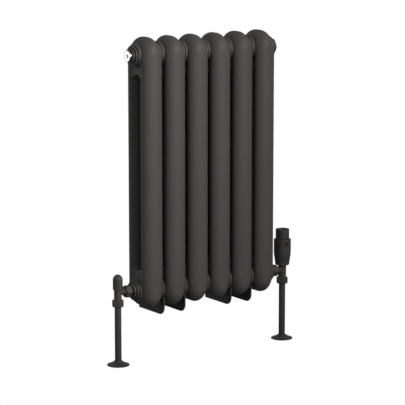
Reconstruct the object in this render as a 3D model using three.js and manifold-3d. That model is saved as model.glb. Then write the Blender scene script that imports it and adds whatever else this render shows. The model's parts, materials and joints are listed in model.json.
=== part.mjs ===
// Column radiator with two angled valves: six cast sections joined by nipples, hung on a wall
// on two lower brackets and two upper stays. Millimetres, +Z up. The origin is on the wall plane,
// at floor level, on the centre line of the six sections; the front of the radiator faces -Y.
import * as THREE from "three";
import { mergeVertices } from "three/addons/utils/BufferGeometryUtils.js";
import { ParametricGeometry } from "three/addons/geometries/ParametricGeometry.js";
import Module from "manifold-3d";

const wasm = await Module();
wasm.setup();

// Radiator
const sectionCount = 6;
const sectionPitch = 60;
const axisY = -83; // mid-plane of the radiator, measured from the wall
const bottomZ = 124;
const height = 600;
const hubInset = 40; // from the top and bottom of a section to its hub axes
const lowHubZ = bottomZ + hubInset;
const highHubZ = bottomZ + height - hubInset;
const midZ = bottomZ + height / 2;

// One section
const halfWidth = 25.5; // across X
const halfDepth = 42.25; // across Y
const slotHalf = 8.25; // half width of the slot between the front and back columns
const slotReach = 215; // from mid height to the end of the slot
const crownCorner = 37; // corner radius of a section seen from its end, at the top
const footCorner = 29; // and at the bottom
const domeFullness = 2.6; // exponent of the head's cross section, 2 in the columns
const wall = 3.6;
const hubFace = 29.4; // half length of a hub
const bossRadius = 25.5;
const nippleBore = 21.4;

// Valves
const valveX = 223;
const pipeRadius = 7.5;
const pipeBore = 6.5;
const pipeInsert = 13.5; // how far a pipe runs up past the foot of its nut
const leftNutZ = 132;
const rightNutZ = 131;
const gap = 0.3; // clearance between neighbouring pieces
const past = 1; // how far a cutting tool runs past the face it cuts

const anthracite = { color: 0x4b4a48, roughness: 0.62, metalness: 0.25 };
const steel = { color: 0x8d8d8d, roughness: 0.4, metalness: 0.9 };
const brass = { color: 0xb49a5a, roughness: 0.4, metalness: 0.9 };
const chrome = { color: 0xd4d4d4, roughness: 0.2, metalness: 1.0 };
const rubber = { color: 0x202020, roughness: 0.8, metalness: 0.0 };
const wax = { color: 0xb9b9b4, roughness: 0.5, metalness: 0.3 };
const red = { color: 0x6d1f24, roughness: 0.5, metalness: 0.0 };

const radiator = new THREE.Group();

function addPiece(name, geometry, finish, x = 0, y = 0, z = 0) {
  const piece = new THREE.Mesh(geometry, new THREE.MeshStandardMaterial(finish));
  piece.name = name;
  piece.position.set(x, y, z);
  radiator.add(piece);
  return piece;
}

// Solids for the boolean cuts and joins
function solidOf(geometry) {
  const source = geometry.index ? geometry.toNonIndexed() : geometry;
  const bare = new THREE.BufferGeometry();
  bare.setAttribute("position", source.getAttribute("position"));
  const merged = mergeVertices(bare, 1e-4);
  return new wasm.Manifold(new wasm.Mesh({
    numProp: 3,
    vertProperties: merged.attributes.position.array,
    triVerts: new Uint32Array(merged.index.array),
  }));
}

function geometryOf(solid) {
  const mesh = solid.getMesh();
  const geometry = new THREE.BufferGeometry();
  geometry.setAttribute("position", new THREE.BufferAttribute(new Float32Array(mesh.vertProperties), 3));
  geometry.setIndex(new THREE.BufferAttribute(new Uint32Array(mesh.triVerts), 1));
  return geometry;
}

// A turned shape about Z from [radius, height] points, listed anticlockwise round the half section.
function turned(points, sides = 16) {
  return new THREE.LatheGeometry(points.map(([r, z]) => new THREE.Vector2(r, z)), sides).rotateX(Math.PI / 2);
}

// A turned ring: the profile is closed on itself and stays clear of the axis.
function turnedRing(points, sides = 16) {
  return turned([...points, points[0]], sides);
}

// A plain tube or washer about Z, from z0 up to z1.
function tube(inner, outer, z0, z1, sides = 16) {
  return turnedRing([[inner, z0], [outer, z0], [outer, z1], [inner, z1]], sides);
}

function rod(radius, z0, z1, sides = 16) {
  return turned([[0, z0], [radius, z0], [radius, z1], [0, z1]], sides);
}

// Turns a shape made about Z so that its +Z points along +X (side 1) or -X (side -1).
function alongX(geometry, side = 1) {
  return geometry.rotateY((side * Math.PI) / 2);
}

// A hexagon bar about Z from z0 to z1, turned down at each end to a rim radius over a given length,
// less bores given as [radius, from, to].
function hexNut(acrossFlats, z0, z1, lowEnd, highEnd, bores) {
  const corner = acrossFlats / Math.sqrt(3);
  const bar = rod(corner, z0, z1, 6);
  const cone = turned([
    [0, z0], [lowEnd.rim, z0], [corner, z0 + lowEnd.length], [corner, z1 - highEnd.length],
    [highEnd.rim, z1], [0, z1],
  ], 18);
  let nut = solidOf(bar).intersect(solidOf(cone));
  for (const [radius, from, to] of bores) {
    nut = nut.subtract(solidOf(rod(radius, from, to)));
  }
  return geometryOf(nut);
}

// ---- Cast section -------------------------------------------------------------------------

// Distance from the slot's end centre to the outline of the section at an angle in the YZ plane.
// The outline is a rectangle with round corners; the angle runs from 0 (+Y) to PI (-Y).
function outlineReach(angle, inset, cornerRadius) {
  const flat = halfDepth - inset;
  const top = height / 2 - slotReach + slotHalf - inset;
  const corner = cornerRadius - inset;
  const cos = Math.abs(Math.cos(angle));
  const sin = Math.sin(angle);
  const toSide = flat / Math.max(cos, 1e-9);
  const toTop = top / Math.max(sin, 1e-9);
  const centreY = flat - corner;
  const centreZ = top - corner;
  const straight = Math.min(toSide, toTop);
  if (straight * cos <= centreY || straight * sin <= centreZ) return straight;
  const along = centreY * cos + centreZ * sin;
  const off = centreY * centreY + centreZ * centreZ - corner * corner;
  return along + Math.sqrt(along * along - off);
}

// The section's skin as a closed ring: u runs round the slot, v round the casting's own thickness.
// Each end of the slot is a fan of half a turn and the two columns are the straight stretches between.
function sectionSkin(inset, fanSteps, roundSteps) {
  const rings = 2 * (fanSteps + 1);
  const place = (u, v, target) => {
    const ring = Math.round(u * rings) % rings;
    const upper = ring <= fanSteps;
    const angle = (Math.PI * (upper ? ring : ring - fanSteps - 1)) / fanSteps;
    const turn = 2 * Math.PI * v;
    const inner = slotHalf + inset;
    const outer = outlineReach(angle, inset, upper ? crownCorner : footCorner);
    const half = (outer - inner) / 2;
    const spread = (half - (halfDepth - slotHalf) / 2 + inset) / 26;
    const power = 2 / (2 + (domeFullness - 2) * Math.min(1, Math.max(0, spread)));
    const rim = Math.sign(Math.cos(turn)) * Math.abs(Math.cos(turn)) ** power;
    const side = Math.sign(Math.sin(turn)) * Math.abs(Math.sin(turn)) ** power;
    const reach = inner + half * (1 + rim);
    const way = upper ? 1 : -1;
    const centre = way * (slotReach - slotHalf);
    const out = way * reach;
    target.set((halfWidth - inset) * side, out * Math.cos(angle), centre + out * Math.sin(angle));
  };
  return new ParametricGeometry(place, rings, roundSteps);
}

function castSection() {
  let casting = solidOf(sectionSkin(0, 6, 12));
  const waterway = solidOf(sectionSkin(wall, 3, 6));
  const ends = [lowHubZ - midZ, highHubZ - midZ];
  for (const z of ends) {
    const boss = alongX(rod(bossRadius, -hubFace, hubFace, 16)).translate(0, 0, z);
    casting = casting.add(solidOf(boss));
  }
  casting = casting.subtract(waterway);
  for (const z of ends) {
    const bore = alongX(rod(nippleBore, -hubFace - 1, hubFace + 1, 12)).translate(0, 0, z);
    casting = casting.subtract(solidOf(bore));
  }
  return geometryOf(casting);
}

const sectionShape = castSection();
const sectionX = (index) => (index - (sectionCount - 1) / 2) * sectionPitch;
for (let index = 0; index < sectionCount; index += 1) {
  addPiece(`section_${index + 1}`, sectionShape, anthracite, sectionX(index), axisY, midZ);
}

// Nipples and joint seals between neighbouring sections
const nipple = { length: 36, radius: 20.3, bore: 16.6, seal: 0.7, sealInner: 21.6, sealOuter: 25 };
for (const [level, z] of [["low", lowHubZ], ["high", highHubZ]]) {
  for (let index = 0; index < sectionCount - 1; index += 1) {
    const x = (sectionX(index) + sectionX(index + 1)) / 2;
    const barrel = alongX(tube(nipple.bore, nipple.radius, -nipple.length / 2, nipple.length / 2, 12));
    addPiece(`nipple_${level}_${index + 1}`, barrel, steel, x, axisY, z);
    const seal = alongX(tube(nipple.sealInner, nipple.sealOuter, -nipple.seal / 2, nipple.seal / 2, 12));
    addPiece(`joint_seal_${level}_${index + 1}`, seal, rubber, x, axisY, z);
  }
}

// ---- End bushes, vent and blanking plug ------------------------------------------------------

// Lengths are measured outwards from the end hub's face.
const endFace = sectionX(sectionCount - 1) + hubFace;
const bush = { thread: 14, flange: 5.5, flangeRadius: 22, collar: 10.5, collarRadius: 17.2, bore: 10.8 };

function bushShape() {
  const b = bush;
  return turnedRing([
    [b.bore, -b.thread], [nipple.radius, -b.thread], [nipple.radius, gap], [b.flangeRadius, gap],
    [b.flangeRadius, b.flange - 1.2], [b.flangeRadius - 1.2, b.flange], [b.collarRadius, b.flange],
    [b.collarRadius, b.collar - 1], [b.collarRadius - 1, b.collar], [b.bore, b.collar],
  ]);
}

const bushEnds = [["low_left", -1, lowHubZ], ["low_right", 1, lowHubZ], ["high_left", -1, highHubZ]];
for (const [name, side, z] of bushEnds) {
  addPiece(`end_bush_${name}`, alongX(bushShape(), side), anthracite, side * endFace, axisY, z);
}

// Air vent: a screwed plug with a disc, and the bleed screw in its middle.
const vent = { threadRadius: 10.4, depth: 12, disc: 12.5, discFrom: 11, discTo: 16.5, bore: 3.4 };
const ventPlug = turnedRing([
  [vent.bore, -vent.depth], [vent.threadRadius, -vent.depth], [vent.threadRadius, vent.discFrom],
  [vent.disc, vent.discFrom], [vent.disc, vent.discTo - 1], [vent.disc - 1, vent.discTo],
  [vent.bore, vent.discTo],
]);
addPiece("vent_plug", alongX(ventPlug, -1), chrome, -endFace, axisY, highHubZ);
const bleed = { radius: 3.1, square: 2.6, from: -8, to: 15, head: 18.5 };
const bleedScrew = solidOf(rod(bleed.radius, bleed.from, bleed.to, 12))
  .add(solidOf(rod(bleed.square * Math.SQRT2, bleed.to - 0.5, bleed.head, 4).rotateZ(Math.PI / 4))
    .intersect(solidOf(rod(bleed.radius, bleed.to - 1, bleed.head + 1, 12))));
addPiece("bleed_screw", alongX(geometryOf(bleedScrew), -1), brass, -endFace, axisY, highHubZ);

// Blanking plug, screwed straight into the other top hub: a flange and a hexagon head
const blank = { acrossFlats: 34, headTo: 11, rim: 17, rimLength: 1.5 };
const plugFlange = turned([
  [0, -bush.thread], [nipple.radius, -bush.thread], [nipple.radius, gap], [bush.flangeRadius, gap],
  [bush.flangeRadius, bush.flange - 1.2], [bush.flangeRadius - 1.2, bush.flange], [0, bush.flange],
]);
const plugEnd = { rim: blank.rim, length: blank.rimLength };
const plugHead = hexNut(blank.acrossFlats, bush.flange - past, blank.headTo, plugEnd, plugEnd, []);
const blankPlug = solidOf(plugFlange).add(solidOf(plugHead));
addPiece("blanking_plug", alongX(geometryOf(blankPlug)), anthracite, endFace, axisY, highHubZ);

// ---- Pieces that both valves share -----------------------------------------------------------

const union = { from: 13, to: 27, shoulder: 17, acrossFlats: 26 };
const tail = { bore: 6, from: -10, thread: 10.4, radius: 8, collarTo: 20.5 };
const outlet = { radius: 9.3, cone: 7, coneEnd: 12, neck: 6.4, port: 4.8 };
const outletFace = endFace + tail.collarTo + gap;

// Tail: screwed into the bush, with a collar that the union nut pulls against the valve.
function tailShape() {
  return turnedRing([
    [tail.bore, tail.from], [tail.thread, tail.from], [tail.thread, bush.collar + 0.5],
    [tail.radius, bush.collar + 0.5], [tail.radius, union.shoulder + gap],
    [outlet.radius, union.shoulder + gap], [outlet.radius, tail.collarTo], [tail.bore, tail.collarTo],
  ]);
}

function unionNutShape() {
  const lowEnd = { rim: 13.2, length: 1.2 };
  const highEnd = { rim: 10.6, length: 5.5 };
  return hexNut(union.acrossFlats, union.from, union.to, lowEnd, highEnd, [
    [tail.radius + gap, union.from - past, union.to],
    [outlet.radius + gap, union.shoulder, union.to + past],
  ]);
}

// Compression nut: it screws up over the valve's socket and grips the pipe below it.
const compression = { acrossFlats: 23, floor: 4 };
const socketRadius = 9.9;
const socketInset = 5; // from the foot of the nut to the foot of the socket
const socketClearance = 0.4;
const socketDepth = 9;

function compressionNutShape(z0, z1) {
  return hexNut(compression.acrossFlats, z0, z1, { rim: 9.5, length: 3 }, { rim: 11, length: 2 }, [
    [pipeRadius + gap, z0 - past, z1],
    [socketRadius + socketClearance, z0 + compression.floor, z1 + past],
  ]);
}

const chamberRadius = 5.5;

// Valve body: a vertical barrel with a pipe socket below, an outlet towards the radiator and an
// open chamber above. `steps` gives the barrel's outside as [radius, from, to].
function valveBody(side, steps, chamberTop) {
  const outletLength = valveX - outletFace;
  let body = null;
  for (const [radius, from, to] of steps) {
    const step = solidOf(rod(radius, from, to));
    body = body ? body.add(step) : step;
  }
  const branch = turned([
    [0, 0], [outlet.neck, 0], [outlet.neck, outletLength - outlet.coneEnd],
    [outlet.radius, outletLength - outlet.cone], [outlet.radius, outletLength], [0, outletLength],
  ]);
  body = body.add(solidOf(alongX(branch, -side).translate(0, 0, lowHubZ)));
  const bottom = steps[0][1];
  const socket = rod(pipeRadius + gap, bottom - past, bottom + socketDepth);
  const chamber = rod(chamberRadius, bottom + socketDepth - past, chamberTop + past);
  const port = alongX(rod(outlet.port, 0, outletLength + past), -side).translate(0, 0, lowHubZ);
  return geometryOf(body.subtract(solidOf(socket)).subtract(solidOf(chamber)).subtract(solidOf(port)));
}

const floorPlate = { radius: 25, rim: 2, shoulder: 15.5, shoulderZ: 5.6, neck: 10.5, top: 9.5, wall: 1.6 };

function floorPlateShape() {
  const p = floorPlate;
  return turnedRing([
    [p.radius - p.wall, 0], [p.radius, 0], [p.radius, p.rim], [p.shoulder, p.shoulderZ],
    [p.neck, p.top - 0.8], [p.neck - 0.8, p.top], [pipeRadius + gap, p.top],
    [pipeRadius + gap, p.top - 2 * p.wall], [p.shoulder - 0.5, p.shoulderZ - p.wall],
    [p.radius - p.wall, p.rim - 1.3],
  ], 20);
}

// ---- Left end: lockshield valve --------------------------------------------------------------

const lock = { nutTop: 147.6, barrel: 8.6, shoulder: 170.2, neck: 7.6, neckTop: 182 };
const cap = { foot: 170.7, top: 205, radius: 11, wall: 1.5, round: 9, inner: 8.4 };

const lockBody = valveBody(-1, [
  [socketRadius, leftNutZ + socketInset, lock.nutTop - past],
  [lock.barrel, lock.nutTop - 1.5, lock.shoulder],
  [lock.neck, lock.shoulder - past, lock.neckTop],
], lock.neckTop);
addPiece("lockshield_body", lockBody, anthracite, -valveX, axisY, 0);
const lockNut = compressionNutShape(leftNutZ, lock.nutTop);
addPiece("lockshield_compression_nut", lockNut, anthracite, -valveX, axisY, 0);

// The disc closes the port from above; the spindle above it is turned to raise or lower it.
const plug = { foot: 152, tip: 4, taperTo: 153.5, radius: 5.2, shoulder: 168, stem: 2.2, top: 170 };
const lockPlug = turned([
  [0, plug.foot], [plug.tip, plug.foot], [plug.radius, plug.taperTo], [plug.radius, plug.shoulder],
  [plug.stem, plug.shoulder], [plug.stem, plug.top], [0, plug.top],
]);
addPiece("lockshield_disc", lockPlug, brass, -valveX, axisY, 0);
const spindle = { foot: 174.5, collar: 5.1, collarTop: 180, radius: 3, top: 192 };
const lockSpindle = turned([
  [0, spindle.foot], [spindle.collar, spindle.foot], [spindle.collar, spindle.collarTop],
  [spindle.radius, spindle.collarTop], [spindle.radius, spindle.top], [0, spindle.top],
], 12);
addPiece("lockshield_spindle", lockSpindle, brass, -valveX, axisY, 0);

// Cap: a domed cup pushed over the neck and lifted off to reach the spindle.
function domeProfile(radius, topZ, round, steps) {
  return Array.from({ length: steps + 1 }, (_, k) => {
    const turn = (k / steps) * (Math.PI / 2);
    return [radius * Math.cos(turn), topZ - round + round * Math.sin(turn)];
  });
}
const capOutside = domeProfile(cap.radius, cap.top, cap.round, 5);
const capInside = domeProfile(cap.inner, cap.top - cap.wall, cap.round, 3).reverse();
const capShape = turned([...capInside, [cap.inner, cap.foot], [cap.radius, cap.foot], ...capOutside]);
addPiece("lockshield_cap", capShape, anthracite, -valveX, axisY, 0);

// ---- Right end: thermostatic valve -------------------------------------------------------------

const trv = { nutTop: 146.4, barrel: 9.3, shoulder: 174, thread: 12, threadTop: 185 };
const trvBody = valveBody(1, [
  [socketRadius, rightNutZ + socketInset, trv.nutTop - 0.5],
  [trv.barrel, trv.nutTop - past, trv.shoulder],
  [trv.thread, trv.shoulder - 0.5, trv.threadTop],
], trv.threadTop);
addPiece("thermostatic_body", trvBody, anthracite, valveX, axisY, 0);
const trvNut = compressionNutShape(rightNutZ, trv.nutTop);
addPiece("thermostatic_compression_nut", trvNut, anthracite, valveX, axisY, 0);

// Valve pin with its disc, pushed down by the sensor.
const pin = { foot: 152, disc: 4.8, discTop: 155.5, coneTop: 156.5, radius: 1.6, top: 189 };
const trvPin = turned([
  [0, pin.foot], [pin.disc, pin.foot], [pin.disc, pin.discTop], [pin.radius, pin.coneTop],
  [pin.radius, pin.top], [0, pin.top],
], 12);
addPiece("thermostatic_pin", trvPin, brass, valveX, axisY, 0);

// Ring nut that fastens the head to the body, and the fixed frame inside the head.
const ringNut = { foot: 175.6, top: 189, low: 16.1, high: 17.8, bore: 12.3 };
const ringNutShape = turnedRing([
  [ringNut.bore, ringNut.foot], [ringNut.low - 0.8, ringNut.foot], [ringNut.low, ringNut.foot + 0.8],
  [ringNut.high, ringNut.top], [ringNut.bore, ringNut.top],
], 20);
addPiece("thermostatic_ring_nut", ringNutShape, anthracite, valveX, axisY, 0);
const frame = { foot: 185.4, bore: 3, low: 11.8, step: 189.6, radius: 13.4, top: 208, inner: 12, floor: 192 };
const headFrame = turnedRing([
  [frame.bore, frame.foot], [frame.low, frame.foot], [frame.low, frame.step], [frame.radius, frame.step],
  [frame.radius, frame.top], [frame.inner, frame.top], [frame.inner, frame.floor], [frame.bore, frame.floor],
]);
addPiece("thermostatic_head_frame", headFrame, rubber, valveX, axisY, 0);
const sensor = { foot: 189.8, stem: 2.4, shoulder: 195, radius: 10.5, top: 242 };
const sensorShape = turned([
  [0, sensor.foot], [sensor.stem, sensor.foot], [sensor.stem, sensor.shoulder],
  [sensor.radius, sensor.shoulder], [sensor.radius, sensor.top], [0, sensor.top],
]);
addPiece("thermostatic_sensor", sensorShape, wax, valveX, axisY, 0);

// Turning handle: a tapered grip with a round indicator pocket near its top edge, and the end cap.
const grip = { foot: 189.5, belly: 209, top: 236, low: 17.9, wide: 19.8, inner: 14.3, lip: 11.5 };
const gripShell = solidOf(turnedRing([
  [grip.inner, grip.foot], [grip.low, grip.foot], [grip.wide - 0.5, grip.belly - 8], [grip.wide, grip.belly],
  [grip.wide, grip.top - 1], [grip.wide - 1, grip.top], [grip.lip, grip.top], [grip.lip, grip.top - 3],
  [grip.inner, grip.top - 5],
], 20));
const mark = { z: 226, radius: 5.2, depth: 1.4, angle: -0.04 };
const markAt = (geometry) => geometry.rotateX(Math.PI / 2).rotateZ(mark.angle).translate(0, 0, mark.z);
const markPocket = solidOf(markAt(rod(mark.radius + gap, grip.wide - mark.depth - gap, grip.wide + 3, 16)));
addPiece("thermostatic_handle", geometryOf(gripShell.subtract(markPocket)), anthracite, valveX, axisY, 0);
const markDisc = markAt(rod(mark.radius, grip.wide - mark.depth, grip.wide - 0.3, 16));
addPiece("thermostatic_indicator", markDisc, red, valveX, axisY, 0);

const endCap = { foot: grip.top + gap, top: 259.5, radius: 15.75, wall: 2, inner: 13 };
const endCapShape = turned([
  [0, endCap.top - endCap.wall], [endCap.inner, endCap.top - endCap.wall], [endCap.inner, endCap.foot],
  [endCap.radius, endCap.foot], [endCap.radius, endCap.top - 1.2], [endCap.radius - 1.2, endCap.top],
  [0, endCap.top],
], 20);
addPiece("thermostatic_end_cap", endCapShape, anthracite, valveX, axisY, 0);

// ---- Tails, union nuts, pipes and floor plates of both ends -----------------------------------

for (const [sideName, side, nutZ] of [["left", -1, leftNutZ], ["right", 1, rightNutZ]]) {
  addPiece(`tail_${sideName}`, alongX(tailShape(), side), brass, side * endFace, axisY, lowHubZ);
  const unionNut = alongX(unionNutShape(), side);
  addPiece(`union_nut_${sideName}`, unionNut, anthracite, side * endFace, axisY, lowHubZ);
  const pipe = tube(pipeBore, pipeRadius, 0, nutZ + pipeInsert);
  addPiece(`pipe_${sideName}`, pipe, anthracite, side * valveX, axisY, 0);
  addPiece(`floor_plate_${sideName}`, floorPlateShape(), anthracite, side * valveX, axisY, 0);
}

// ---- Wall brackets and stays --------------------------------------------------------------------

// Each bracket is a bent plate: a back plate on the wall and two arms that carry the bottom hubs of
// the joints on either side of one section.
const bracket = {
  armX: 27.6, thick: 3, low: 103.5, back: 168, shoulder: -12, neck: -48, tip: -108, tipRound: 19,
  seat: 26, seatDrop: 4, seatEnd: 0.62, hook: 145, screwDrop: 14, holeRadius: 3.3,
};

function bracketShape() {
  const { armX, thick, low, back, shoulder, neck, tip, tipRound, seat, seatDrop, seatEnd, hook } = bracket;
  const arm = new THREE.Shape();
  arm.moveTo(0, low);
  arm.lineTo(0, back);
  arm.lineTo(shoulder, back);
  arm.lineTo(neck, lowHubZ - seat + seatDrop);
  const seatStart = Math.acos((seat - seatDrop) / seat);
  arm.absarc(axisY, lowHubZ, seat, -Math.PI / 2 + seatStart, -Math.PI / 2 - seatEnd, true);
  arm.lineTo(tip, hook);
  arm.lineTo(tip, low + tipRound);
  arm.absarc(tip + tipRound, low + tipRound, tipRound, Math.PI, 1.5 * Math.PI, false);
  const flat = new THREE.ExtrudeGeometry(arm, { depth: thick, bevelEnabled: false, curveSegments: 8 });
  // Shape axes are (Y, Z); the extrusion runs along X.
  flat.applyMatrix4(new THREE.Matrix4().makeBasis(
    new THREE.Vector3(0, 1, 0), new THREE.Vector3(0, 0, 1), new THREE.Vector3(1, 0, 0)
  ));
  const right = solidOf(flat.clone().translate(armX - thick / 2, 0, 0));
  const left = solidOf(flat.clone().translate(-armX - thick / 2, 0, 0));
  const plate = new THREE.BoxGeometry(2 * armX, thick, back - low);
  plate.translate(0, -thick / 2, (back + low) / 2);
  const hole = rod(bracket.holeRadius, -past, thick + past, 12).rotateX(Math.PI / 2);
  hole.translate(0, 0, back - bracket.screwDrop);
  return geometryOf(right.add(left).add(solidOf(plate)).subtract(solidOf(hole)));
}

const screw = { head: 6.5, headTall: 3.2, headEdge: 1, headTop: 4.5, shank: 3 };
for (const [sideName, x] of [["left", sectionX(1)], ["right", sectionX(4)]]) {
  addPiece(`wall_bracket_${sideName}`, bracketShape(), anthracite, x, 0, 0);
  const headFrom = bracket.thick + gap;
  const bolt = turned([
    [0, 0], [screw.shank, 0], [screw.shank, headFrom], [screw.head, headFrom],
    [screw.head, headFrom + screw.headEdge], [screw.headTop, headFrom + screw.headTall],
    [0, headFrom + screw.headTall],
  ]).rotateX(Math.PI / 2);
  addPiece(`bracket_screw_${sideName}`, bolt, steel, x, 0, bracket.back - bracket.screwDrop);
}

// Upper stays: a foot on the wall, a rod, and a clip that sits over the joint of two top hubs.
const stay = { foot: 14, footThick: 4, rod: 4, clipInner: 25.9, clipOuter: 29, clipHalf: 3.6, clipEnd: 8 };

function stayShape() {
  const out = Math.abs(axisY);
  const foot = rod(stay.foot, 0, stay.footThick);
  const bar = rod(stay.rod, stay.footThick - past, out - stay.clipInner - past, 12);
  const clip = alongX(rod(stay.clipOuter, -stay.clipHalf, stay.clipHalf, 20)).translate(0, 0, out);
  const cut = stay.clipHalf + past;
  const hub = alongX(rod(stay.clipInner, -cut, cut, 20)).translate(0, 0, out);
  const front = new THREE.BoxGeometry(4 * stay.clipHalf, 3 * stay.clipOuter, 2 * stay.clipOuter);
  front.translate(0, 0, out + stay.clipOuter + stay.clipEnd);
  const joined = solidOf(foot).add(solidOf(bar)).add(solidOf(clip));
  return geometryOf(joined.subtract(solidOf(hub)).subtract(solidOf(front))).rotateX(Math.PI / 2);
}

const stayX = sectionPitch * (sectionCount / 2 - 1); // the joint next to each end section
for (const [sideName, x] of [["left", -stayX], ["right", stayX]]) {
  addPiece(`upper_stay_${sideName}`, stayShape(), anthracite, x, 0, highHubZ);
}

export default radiator;
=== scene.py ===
# Column radiator with a lockshield valve and a thermostatic valve, satin anthracite
import json
import math

import bmesh
import bpy
import numpy as np
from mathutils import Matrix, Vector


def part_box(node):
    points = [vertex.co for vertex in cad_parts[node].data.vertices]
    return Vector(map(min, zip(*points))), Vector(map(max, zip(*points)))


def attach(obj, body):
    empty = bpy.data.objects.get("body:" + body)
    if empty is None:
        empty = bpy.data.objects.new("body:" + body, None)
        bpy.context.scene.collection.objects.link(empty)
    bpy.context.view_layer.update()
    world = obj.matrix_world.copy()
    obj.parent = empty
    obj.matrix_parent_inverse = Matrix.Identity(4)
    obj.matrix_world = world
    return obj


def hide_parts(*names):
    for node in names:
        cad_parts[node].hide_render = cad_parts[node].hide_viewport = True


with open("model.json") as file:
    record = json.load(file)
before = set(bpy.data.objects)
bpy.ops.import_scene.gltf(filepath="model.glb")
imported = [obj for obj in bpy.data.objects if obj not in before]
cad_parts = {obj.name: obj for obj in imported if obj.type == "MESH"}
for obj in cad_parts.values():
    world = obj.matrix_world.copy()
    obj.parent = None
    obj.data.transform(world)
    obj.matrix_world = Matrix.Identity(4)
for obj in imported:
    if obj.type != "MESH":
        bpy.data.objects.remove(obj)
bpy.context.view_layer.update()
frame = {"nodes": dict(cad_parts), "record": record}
mm = 0.001
print("frame loaded:", len(frame["nodes"]), "nodes")

# camera, light and floor

view = {
    "place": (-2.539, -3.884, 1.1637),  # metres from the wall plane's floor line
    "turn": 33.753,  # degrees, looking right of square on
    "dip": 10.175,  # degrees below level
    "lens": 184.04,
}
camera = bpy.data.objects.new("camera", bpy.data.cameras.new("camera"))
camera.location = view["place"]
camera.rotation_euler = (math.radians(90 - view["dip"]), 0, -math.radians(view["turn"]))
camera.data.lens = view["lens"]
camera.data.sensor_width = 36
bpy.context.scene.collection.objects.link(camera)
bpy.context.scene.camera = camera
bpy.context.scene.view_settings.view_transform = "Standard"

studio = {
    "surround": 0.3,
    "keyPlace": (0.3, -2.0, 1.35),
    "keyAim": (-0.6, -0.08, 0.55),
    "keyPower": 6.3,
    "keySpread": 64,  # degrees
    "keySize": 1.2,
    "sidePlace": (-1.3, 1.55, 0.6),
    "sideAim": (0, -0.08, 0.4),
    "sidePower": 3.2,
    "sideSize": 0.9,
    "floorSeen": 1.0,
    "floorBounce": (0.2, 0.2, 0.2, 1),
    "floorReach": 6,
    "floorDrop": 0.0005,  # keeps the floor just clear of the pipes and plates
}


def addAreaLight(name, place, aim, power, size, spread=180):
    # a square soft box at place, turned to face aim
    light = bpy.data.objects.new(name, bpy.data.lights.new(name, "AREA"))
    light.data.energy = power
    light.data.size = size
    light.data.spread = math.radians(spread)
    light.location = place
    away = np.array(place) - np.array(aim)
    flat = math.hypot(away[0], away[1])
    light.rotation_euler = (math.atan2(flat, away[2]), 0, math.atan2(away[0], -away[1]))
    bpy.context.scene.collection.objects.link(light)


def directAndIndirect(tree, seen, lit, target):
    # rays from the camera meet one shader and all other rays the other
    mix = tree.nodes.new("ShaderNodeMixShader")
    rays = tree.nodes.new("ShaderNodeLightPath")
    tree.links.new(rays.outputs["Is Camera Ray"], mix.inputs["Fac"])
    tree.links.new(lit, mix.inputs[1])
    tree.links.new(seen, mix.inputs[2])
    tree.links.new(mix.outputs["Shader"], target)


def makeStudio():
    # an even surround, a soft key light from the front, a side light from behind and the floor
    world = bpy.data.worlds.new("surround")
    bpy.context.scene.world = world
    world.use_nodes = True
    tree = world.node_tree
    tree.nodes.clear()
    output = tree.nodes.new("ShaderNodeOutputWorld")
    seen = tree.nodes.new("ShaderNodeBackground")
    seen.inputs["Color"].default_value = (1, 1, 1, 1)
    lit = tree.nodes.new("ShaderNodeBackground")
    lit.inputs["Color"].default_value = (1, 1, 1, 1)
    lit.inputs["Strength"].default_value = studio["surround"]
    directAndIndirect(tree, seen.outputs[0], lit.outputs[0], output.inputs["Surface"])

    addAreaLight(
        "key", studio["keyPlace"], studio["keyAim"],
        studio["keyPower"], studio["keySize"], studio["keySpread"],
    )
    addAreaLight("side", studio["sidePlace"], studio["sideAim"], studio["sidePower"], studio["sideSize"])

    # the floor is blank white to the camera and a dim matt surface to the light
    reach = studio["floorReach"]
    corners = [(-reach, -reach, 0), (reach, -reach, 0), (reach, reach, 0), (-reach, reach, 0)]
    floorMesh = bpy.data.meshes.new("floor")
    floorMesh.from_pydata(corners, [], [(0, 1, 2, 3)])
    floor = bpy.data.objects.new("floor", floorMesh)
    floor.location.z = -studio["floorDrop"]
    bpy.context.scene.collection.objects.link(floor)
    paint = bpy.data.materials.new("floorPaint")
    paint.use_nodes = True
    paintTree = paint.node_tree
    matt = paintTree.nodes["Principled BSDF"]
    matt.inputs["Base Color"].default_value = studio["floorBounce"]
    matt.inputs["Roughness"].default_value = 0.9
    blank = paintTree.nodes.new("ShaderNodeEmission")
    blank.inputs["Strength"].default_value = studio["floorSeen"]
    target = paintTree.nodes["Material Output"].inputs["Surface"]
    directAndIndirect(paintTree, blank.outputs[0], matt.outputs[0], target)
    floorMesh.materials.append(paint)


makeStudio()
print("studio set")

# materials


def addNode(tree, kind, **settings):
    # each setting goes to the input socket of that name, or else to the node's own property
    node = tree.nodes.new(kind)
    for key, value in settings.items():
        if key in node.inputs:
            node.inputs[key].default_value = value
        else:
            setattr(node, key, value)
    return node


def mixColours(tree, factor, dark, light):
    # linear blend from dark to light by a 0 to 1 output
    ramp = addNode(tree, "ShaderNodeValToRGB")
    ramp.color_ramp.elements[0].color = (*dark, 1)
    ramp.color_ramp.elements[1].color = (*light, 1)
    tree.links.new(factor, ramp.inputs["Fac"])
    return ramp.outputs["Color"]


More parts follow.
